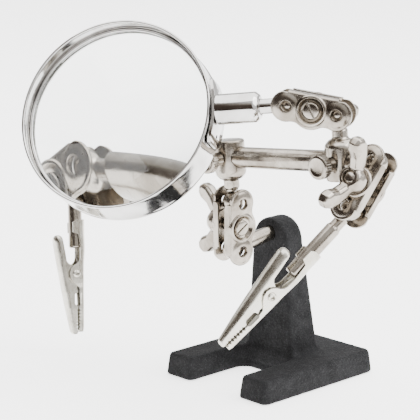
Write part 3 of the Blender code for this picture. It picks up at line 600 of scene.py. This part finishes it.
def add_clamps(mats, bar, collar):
    plate = plate_mesh()
    near = (bar @ Vector((0.0, -CROSSBAR_HALF * MM, 0.0))) / MM
    far = (bar @ Vector((0.0, CROSSBAR_HALF * MM, 0.0))) / MM
    top = (collar @ Vector((0.0, 0.0, BLOCK_BALL_DROP * MM))) / MM
    far_face = (LEFT_CLIP_BALL - far).cross(near - far)
    lower_face = Vector((math.sin(LOWER_CLAMP_TURN), -math.cos(LOWER_CLAMP_TURN), 0.0))
    places = {
        "lower": clamp_frame(PIN_BALL, HOLDER_BALL, lower_face),
        "lens": clamp_frame(LENS_BALL, top, LENS_CLAMP_FACE),
        "right": clamp_frame(RIGHT_CLIP_BALL, near, -RIGHT_CLAMP_FACE),
        "left": clamp_frame(LEFT_CLIP_BALL, far, far_face),
    }
    pieces = (("nut_plate", plate, "clamp"), ("screw_plate", mirrored_y(plate), "clamp"),
              ("screw", screw_mesh(), "clamp"), ("wing_nut", wing_nut_mesh(), "wing_nut"))
    for side, place in places.items():
        for part, mesh, body in pieces:
            node = side + "_clamp_" + part
            add(node + "_detail", mesh, place, side + "_" + body, node, "nickel_plate", mats)


def block_mesh():
    """Turned block, cross-bored for the bar, with a stem that runs down to its ball."""
    stem_end = -BLOCK_BALL_DROP + BALL_R + NECK_GAP
    body = lathe(eased([(0.0, 5.15), (BLOCK_R, 5.15), (BLOCK_R, -4.9), (3.3, -6.35),
                        (STEM_R + 0.3, -6.6), (STEM_R, -7.1), (STEM_R, stem_end + 1.0),
                        (NECK_R, stem_end + 0.4), (NECK_R, stem_end), (0.0, stem_end)], 0.8), 64)
    bore = lathe([(0.0, -9.0), (BAR_BORE_R, -9.0), (BAR_BORE_R, 9.0), (0.0, 9.0)], 64, "Y")
    hole = lathe([(0.0, -9.0), (SET_HOLE_R, -9.0), (SET_HOLE_R, -1.0), (0.0, -1.0)], 32, "X")
    return combine(body, [bore, hole], "DIFFERENCE")


def thumbscrew_mesh():
    """Knurled thumbscrew along X, its point at the bar."""
    return lathe([(0.0, -10.8), (1.7, -10.8), (2.05, -10.9), (2.3, -11.08), (2.7, -11.14),
                  (3.1, -11.0), (3.4, -10.7), (3.5, -10.3), (3.5, -10.1),
                  (3.5, -8.8), (3.46, -8.55), (3.1, -8.2), (2.5, -7.95), (2.1, -7.7), (2.0, -7.3),
                  (2.05, -4.95), (1.6, -4.85), (1.6, -3.45), (1.4, -3.3), (0.0, -3.3)], 60, "X", KNURL_DEPTH)


def crossbar_mesh():
    """Crossbar along Y with a neck at each end."""
    end = CROSSBAR_HALF - BALL_R - NECK_GAP
    half = [(CROSSBAR_R, 46.6), (3.05, 47.0), (2.9, 47.25), (2.5, 47.4), (2.0, 47.6), (NECK_R, 48.2),
            (NECK_R, end), (0.0, end)]
    return lathe([(r, -h) for r, h in reversed(half)] + half, 56, "Y")


def ball_mesh():
    steps = 20
    profile = [(BALL_R * math.sin(math.pi * i / steps), -BALL_R * math.cos(math.pi * i / steps))
               for i in range(1, steps)]
    return lathe([(0.0, -BALL_R)] + profile + [(0.0, BALL_R)], 40)


def add_bar(mats):
    """Holder, crossbar, collar, their thumbscrews and every ball; returns the bar's and collar's places."""
    turn = Matrix.Rotation(BAR_HEADING, 4, "Z") @ Matrix.Rotation(-BAR_TILT, 4, "X")
    centre = HOLDER_BALL + (turn @ Vector((0, 0, 1))) * BLOCK_BALL_DROP
    bar = Matrix.Translation(centre * MM) @ turn
    collar = bar @ shift(y=-COLLAR_AT)
    block, thumbscrew = block_mesh(), thumbscrew_mesh()
    nickel = "nickel_plate"
    add("holder_detail", block, bar, "bar_holder", "bar_holder", nickel, mats)
    add("collar_detail", block.copy(), collar @ Matrix.Rotation(math.pi, 4, "X"), "lens_collar",
        "lens_collar", nickel, mats)
    for name, place in (("holder_thumbscrew", bar), ("collar_thumbscrew", collar)):
        add(name + "_detail", thumbscrew, place, name, name, nickel, mats)
    add("crossbar_detail", crossbar_mesh(), bar, "crossbar", "crossbar", nickel, mats)
    balls = (
        ("pin_ball", "stand_knuckle", Matrix.Translation(PIN_BALL * MM)),
        ("holder_ball", "holder_knuckle", bar @ shift(z=-BLOCK_BALL_DROP)),
        ("right_bar_ball", "right_bar_knuckle", bar @ shift(y=-CROSSBAR_HALF)),
        ("left_bar_ball", "left_bar_knuckle", bar @ shift(y=CROSSBAR_HALF)),
        ("collar_ball", "collar_knuckle", collar @ shift(z=BLOCK_BALL_DROP)),
        ("magnifier_ball", "magnifier_knuckle", Matrix.Translation(LENS_BALL * MM)),
        ("right_clip_ball", "right_clip_knuckle", Matrix.Translation(RIGHT_CLIP_BALL * MM)),
        ("left_clip_ball", "left_clip_knuckle", Matrix.Translation(LEFT_CLIP_BALL * MM)),
    )
    mesh = ball_mesh()
    for node, body, place in balls:
        add(node + "_detail", mesh, place, body, node, nickel, mats, 60.0)
    return bar, collar


def lens_mesh():
    """Lens with the same bulge on both faces."""
    steps = 14
    curve = (LENS_R ** 2 + LENS_SAG ** 2) / (2.0 * LENS_SAG)
    front = []
    for i in range(steps + 1):
        r = LENS_R * i / steps
        front.append((r, LENS_EDGE_T / 2.0 + math.sqrt(curve ** 2 - r ** 2) - (curve - LENS_SAG)))
    return lathe(front + [(r, -h) for r, h in reversed(front)], 128)


def roll_point(degrees, height):
    """Point on the rolled rim of the ring at a height."""
    angle = math.radians(degrees)
    return ROLL_R + ROLL_HALF_WIDTH * math.cos(angle), height + ROLL_HALF_HEIGHT * math.sin(angle)


def ring_mesh():
    """Sheet ring with rolled rims, a shallow bead and a ledge behind the lens."""
    ledge = LENS_Z - LENS_EDGE_T / 2.0 - 0.25
    front = [roll_point(degrees, FRONT_ROLL_Z) for degrees in range(-60, 181, 30)]
    wall = [(28.3, 1.5), (28.25, 0.5), (28.25, -7.5), (28.3, -8.1)]
    back = [roll_point(degrees, BACK_ROLL_Z) for degrees in range(0, -181, -30)]
    inner = [(RING_INNER_R, ledge - 0.9), (LEDGE_R + 0.1, ledge - 0.6), (LEDGE_R, ledge - 0.3),
             (LEDGE_R, ledge), (27.65, ledge), (27.65, 2.0)]
    return lathe(list(reversed(front)) + wall + back + inner, 160)


def saddle_mesh():
    """Curved plate on the ring's wall with rounded ends and two small holes."""
    loops = []
    steps = 24
    edge = SADDLE_OUTER - 0.1
    for i in range(steps + 1):
        across = 2.0 * i / steps - 1.0
        angle = SADDLE_HALF_ANGLE * across
        trim = 1.6 * abs(across) ** 8
        section = [(SADDLE_INNER, SADDLE_BACK + trim), (edge, SADDLE_BACK + trim),
                   (SADDLE_OUTER, SADDLE_BACK + 0.15 + trim), (SADDLE_OUTER, SADDLE_FRONT - 0.15 - trim),
                   (edge, SADDLE_FRONT - trim), (SADDLE_INNER, SADDLE_FRONT - trim)]
        loops.append([(r * math.cos(angle), r * math.sin(angle), z) for r, z in section])
    saddle = loft(loops)
    holes = []
    for across in (-0.72, 0.72):
        hole = lathe([(0.0, 27.0), (0.6, 27.0), (0.6, 31.0), (0.0, 31.0)], 20, "X")
        hole.transform(Matrix.Rotation(SADDLE_HALF_ANGLE * across, 4, "Z") @ shift(z=-3.3))
        holes.append(hole)
    return combine(saddle, holes, "DIFFERENCE")


def add_magnifier(mats):
    along = (LENS_BALL - LENS_CENTRE).normalized()
    reach = (LENS_BALL - LENS_CENTRE).length
    place = frame(LENS_CENTRE, along, LENS_FRONT - along * LENS_FRONT.dot(along))
    chrome = "polished_chrome"
    add("ring_detail", ring_mesh(), place, "magnifier", "lens_ring", chrome, mats, 50.0)
    add("lens_detail", lens_mesh(), place @ shift(z=LENS_Z), "magnifier", "lens", "lens_glass", mats)
    wire = [(RETAINER_R + RETAINER_WIRE * math.cos(math.pi * i / 6.0),
             RETAINER_WIRE * math.sin(math.pi * i / 6.0)) for i in range(12)]
    add("retainer_detail", lathe(wire, 160), place @ shift(z=RETAINER_Z), "magnifier", "lens_retainer",
        chrome, mats, 60.0)
    add("saddle_detail", saddle_mesh(), place, "magnifier", "ring_saddle", chrome, mats)
    ferrule = lathe(eased([(0.0, FERRULE_START), (FERRULE_R, FERRULE_START), (FERRULE_R, 41.3),
                           (3.45, 42.4), (2.95, FERRULE_END), (STEM_R, FERRULE_END),
                           (STEM_R, FERRULE_FLOOR), (0.0, FERRULE_FLOOR)], 0.25), 64, "X")
    add("ferrule_detail", ferrule, place, "magnifier", "ferrule", chrome, mats)
    end = reach - BALL_R - NECK_GAP
    start, wide = FERRULE_FLOOR + 0.2, STEM_R - 0.15
    neck = lathe(eased([(0.0, start), (wide, start), (wide, end - 1.2), (NECK_R, end - 0.7),
                        (NECK_R, end), (0.0, end)], 0.3), 48, "X")
    add("neck_detail", neck, place, "magnifier", "magnifier_neck", chrome, mats)


def value_at(table, s):
    """Straight-line value at s from (s, value) pairs."""
    for (a, low), (b, high) in zip(table, table[1:]):
        if s <= b:
            return low + (high - low) * max(0.0, (s - a) / (b - a))
    return table[-1][1]


def stations(marks, step=0.45):
    """Places along the clip: every mark, and even steps between them."""
    places = []
    for a, b in zip(marks, marks[1:]):
        count = max(1, int(math.ceil((b - a) / step)))
        places += [a + (b - a) * i / count for i in range(count)]
    return places + [marks[-1]]


def tooth_places():
    """Every root and tip along the toothed part of a jaw."""
    return [TEETH_START + TOOTH_PITCH / 2.0 * i for i in range(14)]


def teeth(s, depth):
    """Saw-tooth height along a jaw."""
    phase = ((s - TEETH_START) / TOOTH_PITCH) % 1.0
    return depth * (2.0 * phase if phase < 0.5 else 2.0 - 2.0 * phase)


# the clip's lower jaw: half width, floor, corner radius and top edge along it
BODY_HALF = [(15.4, 2.85), (24.6, 2.85), (27.5, 2.9), (34.2, 2.9), (35.6, 2.8), (37.0, 2.6),
             (38.5, 2.5), (43.6, 2.05), (51.0, 1.3)]
BODY_FLOOR = [(15.4, -2.75), (24.6, -2.7), (27.5, -2.25), (29.2, -1.95), (32.6, -1.8), (50.0, -1.8),
              (51.0, -1.55)]
BODY_CORNER = [(15.4, 2.3), (20.0, 2.3), (24.6, 2.0), (27.5, 1.4), (29.2, 1.0), (37.0, 0.9), (51.0, 0.7)]
BODY_TOP = [(15.4, 0.4), (16.2, 1.7), (19.4, 1.7), (20.0, 0.0), (24.6, -0.6), (27.5, -0.5), (28.6, -0.2),
            (29.4, 0.6), (30.2, 1.9), (31.2, 2.8), (32.6, 3.2), (34.0, 2.8), (35.2, 1.9), (36.2, 0.7),
            (37.0, 0.0), (38.5, -0.2), (38.7, -0.55), (39.1, -0.7), (42.2, -0.7), (42.6, -0.5),
            (42.9, -0.1), (51.0, 0.0)]
# the clip's upper jaw and thumb lever: half width, roof, lower edge and crease along it
LEVER_HALF = [(20.3, 1.2), (20.6, 1.9), (21.2, 2.4), (22.0, 2.7), (26.0, 2.7), (29.0, 2.55), (38.5, 2.45),
              (43.6, 2.1), (51.0, 1.3)]
LEVER_ROOF = [(20.3, 6.6), (20.6, 7.0), (21.2, 7.35), (22.0, 7.5), (26.0, 6.95), (29.0, 6.5), (32.6, 5.87),
              (37.4, 5.1), (43.6, 4.0), (51.0, 2.5)]
LEVER_LIP = [(20.3, 5.8), (20.9, 5.25), (22.0, 4.9), (26.0, 4.2), (28.6, 3.8), (29.3, 3.2), (30.0, 1.8),
             (30.6, 0.3), (31.4, -0.5), (32.4, -0.75), (33.4, -0.6), (34.4, -0.1), (35.4, 0.35), (37.4, 0.6),
             (38.5, 0.2), (38.7, 0.9), (39.1, 1.4), (42.0, 1.4), (42.5, 1.0), (42.9, 0.3), (51.0, 0.3)]
LEVER_CREASE = [(20.3, 6.0), (22.0, 5.4), (32.6, 4.1), (40.3, 2.9), (50.5, 1.3), (51.0, 1.2)]


def body_loop(s):
    """Section of the folded channel with its rounded lower corners."""
    sheet, steps = BODY_SHEET, 6
    half, floor = value_at(BODY_HALF, s), value_at(BODY_FLOOR, s)
    corner, top = value_at(BODY_CORNER, s), value_at(BODY_TOP, s)
    if s > TEETH_START:
        top -= teeth(s, BODY_TOOTH)
    outer, inner = [], []
    for k in range(steps + 1):
        angle = math.pi / 2.0 * k / steps
        c, t = math.cos(angle), 1.0 - math.sin(angle)
        tight = max(corner - sheet, 0.05)
        outer.append((half - corner + corner * c, floor + corner * t))
        inner.append((half - sheet - tight + tight * c, floor + sheet + tight * t))
    right = [(half, top)] + outer
    inside = [(half - sheet, top)] + inner
    loop = right + [(-c, t) for c, t in reversed(right)]
    loop += [(-c, t) for c, t in inside] + list(reversed(inside))
    return [(s, t, c) for c, t in loop]


def lever_loop(s):
    """Rounded back with a crease, then flat cheeks set a little further in."""
    sheet, steps = LEVER_SHEET, 7
    half, roof = value_at(LEVER_HALF, s), value_at(LEVER_ROOF, s)
    lip, crease = value_at(LEVER_LIP, s), value_at(LEVER_CREASE, s)
    if s > TEETH_START:
        lip += teeth(s, LEVER_TOOTH)
    crease = max(crease, lip + 0.25)
    cheek = min(half - 0.25, 2.15)
    round_t = min(roof - crease - 0.1, 2.0)
    round_c = min(half - 0.3, 2.3)
    outer = [(cheek, lip), (cheek, crease - 0.12), (cheek + 0.02, crease), (half, crease + 0.08)]
    for k in range(steps + 1):
        angle = math.pi / 2.0 * k / steps
        outer.append((half - round_c * (1 - math.cos(angle)), roof - round_t * (1 - math.sin(angle))))
    inner = [(cheek - sheet, lip), (cheek - sheet, crease - 0.12)]
    for k in range(steps + 1):
        angle = math.pi / 2.0 * k / steps
        reach = cheek - sheet
        inner.append((reach * (0.25 + 0.75 * math.cos(angle)),
                      roof - sheet - (round_t - 0.2) * (1 - math.sin(angle))))
    loop = outer + [(-c, t) for c, t in reversed(outer)]
    loop += [(-c, t) for c, t in inner] + list(reversed(inner))
    return [(s, t, c) for c, t in loop]


def pin_hole():
    """Cutter for the rivet's hole through both cheeks."""
    hole = lathe([(0.0, -6.0), (PIN_HOLE_R, -6.0), (PIN_HOLE_R, 6.0), (0.0, 6.0)], 32)
    hole.transform(shift(CLIP_PIVOT_S, CLIP_PIVOT_T))
    return hole


def clip_body_mesh():
    marks = sorted({point[0] for point in BODY_TOP + BODY_HALF} | set(tooth_places()))
    body = loft([body_loop(s) for s in stations(marks)])
    tip = loft([[(JAW_END, -1.45, c), (JAW_END, -0.35, c), (50.4, -0.35, c), (50.4, -1.5, c)]
                for c in (-0.8, 0.8)])
    return joined([combine(body, [pin_hole()], "DIFFERENCE"), tip])


def clip_lever_mesh():
    marks = sorted({point[0] for point in LEVER_LIP + LEVER_HALF} | set(tooth_places()))
    body = loft([lever_loop(s) for s in stations(marks)])
    nose = loft([[(50.4, 0.3, c), (51.3, 0.32, c), (51.6, 0.5, c), (51.75, 1.0, c), (51.65, 1.5, c),
                  (51.3, 1.95, c), (50.4, 2.35, c)] for c in (-0.95, 0.95)])
    return joined([combine(body, [pin_hole()], "DIFFERENCE"), nose])


def spring_mesh():
    """Coil round the rivet with one leg under the lever and one on the jaw's floor."""
    steps = 24
    path = [(25.2, 5.6, -0.85), (27.5, 4.95, -0.9), (29.5, 4.3, -0.95)]
    for i in range(SPRING_TURNS * steps + 1):
        angle = math.radians(112) - 2.0 * math.pi * i / steps
        path.append((CLIP_PIVOT_S + SPRING_R * math.cos(angle), CLIP_PIVOT_T + SPRING_R * math.sin(angle),
                     -1.05 + 2.1 * i / (SPRING_TURNS * steps)))
    path += [(29.0, -1.0, 1.1), (25.6, -0.1, 0.9)]
    curve = bpy.data.curves.new("spring", "CURVE")
    curve.dimensions, curve.bevel_depth, curve.bevel_resolution = "3D", SPRING_WIRE_R * MM, 3
    curve.use_fill_caps = True
    spline = curve.splines.new("POLY")
    spline.points.add(len(path) - 1)
    for point, place in zip(spline.points, path):
        point.co = (*(Vector(place) * MM), 1.0)
    item = bpy.data.objects.new("spring", curve)
    bpy.context.scene.collection.objects.link(item)
    mesh = bpy.data.meshes.new_from_object(item.evaluated_get(bpy.context.evaluated_depsgraph_get()))
    bpy.data.objects.remove(item, do_unlink=True)
    return mesh


def clip_frame(ball, axis):
    """Place of a clip: X runs from its ball to its tip and Y towards the lever."""
    along = axis.normalized()
    outward = (CLIP_OUTWARD - along * CLIP_OUTWARD.dot(along)).normalized()
    lever = along.cross(outward) * math.cos(CLIP_ROLL) + outward * math.sin(CLIP_ROLL)
    return frame(ball, along, along.cross(lever))


def add_clips(mats):
    start = BALL_R + NECK_GAP
    stem = lathe(eased([(0.0, start), (NECK_R, start), (NECK_R, 6.6), (CLIP_STEM_R, 7.4),
                        (CLIP_STEM_R, 24.0), (1.7, 24.4), (0.0, 24.4)], 0.25), 48, "X")
    head = [(0.8, 3.0), (1.25, 3.02), (1.24, 3.15), (1.1, 3.35), (0.9, 3.48), (0.7, 3.44), (0.55, 3.3),
            (0.5, 2.6), (0.0, 2.55)]
    rivet = lathe([(r, -h) for r, h in reversed(head)] + head, 32)
    pieces = (("stem", stem, "nickel_plate", ""), ("body", clip_body_mesh(), "clip_nickel", ""),
              ("lever", clip_lever_mesh(), "clip_nickel", "_lever"),
              ("pivot", rivet, "clip_nickel", ""))
    spring = spring_mesh()
    for side, ball, axis in (("right", RIGHT_CLIP_BALL, RIGHT_CLIP_AXIS),
                             ("left", LEFT_CLIP_BALL, LEFT_CLIP_AXIS)):
        place = clip_frame(ball, axis)
        for part, mesh, slot, body in pieces:
            node = side + "_clip_" + part
            spot = place @ shift(CLIP_PIVOT_S, CLIP_PIVOT_T) if part == "pivot" else place
            add(node + "_detail", mesh, spot, side + "_clip" + body, node, slot, mats)
        node = side + "_clip_spring"
        item = add(node + "_detail", spring, place, None, node, "spring_steel", mats)
        start, end = (place @ (Vector((CLIP_PIVOT_S, t, 0.0)) * MM)
                      for t in (SPRING_FIXED_T, SPRING_FREE_T))
        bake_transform(item)


# ---- light, floor and camera ----

def add_light(name, place, target, size, power):
    """Square area light at a place, turned to a target."""
    light = bpy.data.lights.new(name, "AREA")
    light.shape, light.size, light.energy = "SQUARE", size, power
    item = bpy.data.objects.new(name, light)
    bpy.context.scene.collection.objects.link(item)
    item.location = place
    item.rotation_euler = (Vector(target) - Vector(place)).to_track_quat("-Z", "Y").to_euler()


def facing(nodes, links, place, side):
    """How far each direction of the room points to one side."""
    node = nodes.new("ShaderNodeVectorMath")
    node.operation = "DOT_PRODUCT"
    node.inputs[1].default_value = side
    links.new(place, node.inputs[0])
    return node.outputs["Value"]


def add_world():
    """Soft studio: bright above, to the right and behind the object, brown and dim elsewhere."""
    world = bpy.data.worlds.new("room")
    bpy.context.scene.world = world
    world.use_nodes = True
    nodes, links = world.node_tree.nodes, world.node_tree.links
    place = nodes.new("ShaderNodeTexCoord").outputs["Generated"]
    brighter = nodes.new("ShaderNodeMath")
    brighter.operation = "MAXIMUM"
    links.new(facing(nodes, links, place, BRIGHT_SIDE.normalized()), brighter.inputs[0])
    links.new(facing(nodes, links, place, FAR_SIDE), brighter.inputs[1])
    patches = grain(nodes, links, place, 2.2, detail=1.5, roughness=0.4)
    mixed = nodes.new("ShaderNodeMath")
    mixed.operation = "MULTIPLY_ADD"
    links.new(patches, mixed.inputs[0])
    mixed.inputs[1].default_value = 0.6
    links.new(brighter.outputs["Value"], mixed.inputs[2])
    colour = ramp(nodes, links, mixed.outputs["Value"], [
        (0.0, (0.06, 0.045, 0.035)), (0.42, (0.10, 0.075, 0.06)), (0.56, (0.40, 0.36, 0.32)),
        (0.68, (1.0, 0.99, 0.97)), (1.0, (1.25, 1.25, 1.25))])
    links.new(colour, nodes["Background"].inputs["Color"])
    nodes["Background"].inputs["Strength"].default_value = ROOM_STRENGTH


def add_stage():
    """Pale glowing floor, just below the base."""
    near, far = FLOOR_NEAR / MM, FLOOR_FAR / MM
    floor_mesh = mesh_from([(near, near, 0), (far, near, 0), (far, far, 0), (near, far, 0)],
                           [(0, 1, 2, 3)])
    floor = bpy.data.objects.new("floor", floor_mesh)
    bpy.context.scene.collection.objects.link(floor)
    floor.location.z = -FLOOR_DROP
    mat, nodes, links, shader, place = surface("floor", (0.93, 0.93, 0.93), 0.6, 0.0)
    shader.inputs["Emission Color"].default_value = (1.0, 1.0, 1.0, 1.0)
    shader.inputs["Emission Strength"].default_value = FLOOR_GLOW
    tone = grain(nodes, links, place, 30.0, detail=3.0)
    links.new(ramp(nodes, links, tone, [(0.3, 0.92), (0.7, 0.94)]), shader.inputs["Base Color"])
    floor_mesh.materials.append(mat)


def add_camera():
    azimuth, elevation = CAMERA_AZIMUTH, CAMERA_ELEVATION
    back = Vector((math.sin(azimuth) * math.cos(elevation), -math.cos(azimuth) * math.cos(elevation),
                   math.sin(elevation)))
    right = Vector((math.cos(azimuth), math.sin(azimuth), 0.0))
    place = Matrix((right, back.cross(right), back)).transposed().to_4x4()
    place.translation = CAMERA_PLACE
    camera = bpy.data.cameras.new("camera")
    camera.lens, camera.sensor_width, camera.clip_start = CAMERA_LENS, 36.0, 0.01
    item = bpy.data.objects.new("camera", camera)
    bpy.context.scene.collection.objects.link(item)
    item.matrix_world = place
    bpy.context.scene.camera = item


def main():
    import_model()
    mats = make_surfaces()
    add_stand(mats)
    bar, collar = add_bar(mats)
    add_clamps(mats, bar, collar)
    add_magnifier(mats)
    add_clips(mats)
    add_stage()
    add_world()
    add_light("key", (0.35, -0.75, 0.75), (0, 0, 0.05), 0.8, 10.0)
    add_light("top", (0.1, 0.1, 0.95), (0, 0, 0.0), 1.5, 24.0)
    add_camera()


main()
